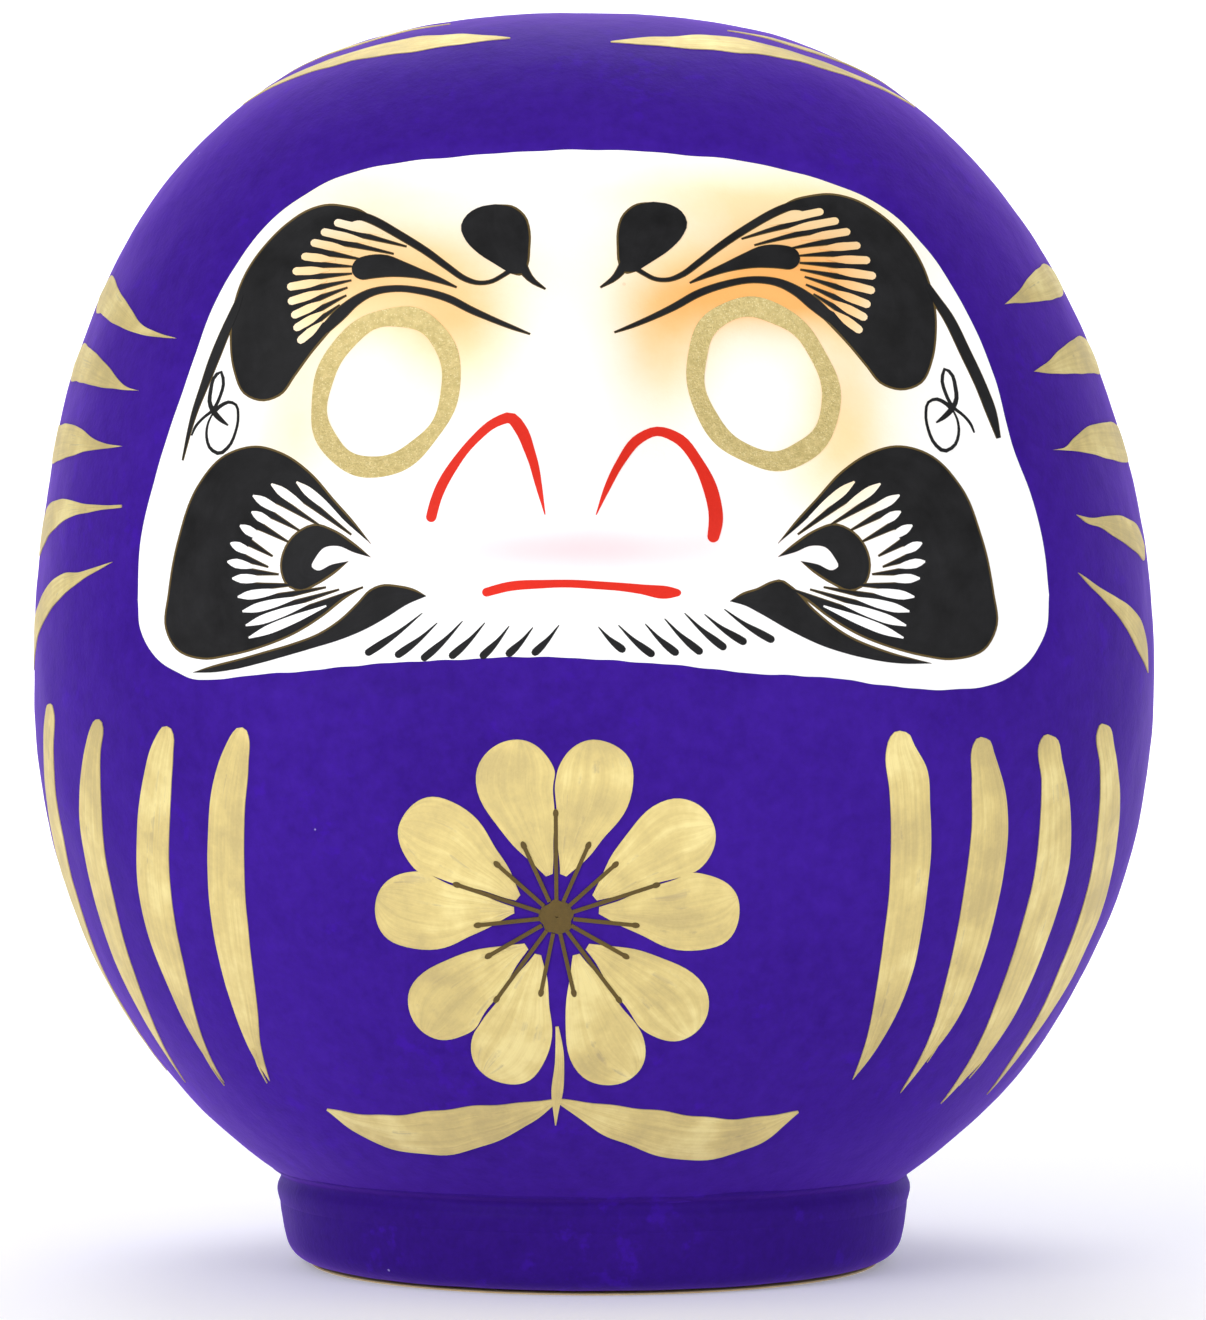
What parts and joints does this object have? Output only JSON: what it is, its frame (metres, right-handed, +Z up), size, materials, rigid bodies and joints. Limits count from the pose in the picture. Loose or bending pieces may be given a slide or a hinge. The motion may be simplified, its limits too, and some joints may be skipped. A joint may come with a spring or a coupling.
{
  "type": "daruma doll",
  "caption": "Hollow papier-mache daruma figure with a sunken bearded face, rounded body and flat weighted foot, for display on a shelf.",
  "frame": {"origin": "centre of the flat underside of the foot, which is the bottom centre of the bounding box", "axes": "+Z up through the crown, the longest extent; -Y is the way the face looks; +X is the viewer's right when facing the doll"},
  "size_m": [0.216, 0.206, 0.24],
  "materials": {
    "painted_pulp": "purple brushed paint, satin, over moulded paper pulp",
    "paper": "plain cream paper, matt",
    "greyboard": "uncoated grey-brown board",
    "clay": "dried unglazed clay, matt",
    "white_paint": "white ground coat of the face, matt, with airbrushed orange round brows and eyes",
    "ink": "black brush ink with a charcoal wash and a thin olive fringe",
    "gold_paint": "pale gold metallic paint, brushed, satin",
    "red_paint": "vermilion brush line, satin"
  },
  "bodies": {
    "root": {"front_shell": "painted_pulp", "back_shell": "painted_pulp", "seam_strip": "paper", "joint_band": "painted_pulp", "foot_ring": "painted_pulp", "clay_weight": "clay", "base_board": "greyboard", "base_sheet": "paper"}
  },
  "joints": []
}
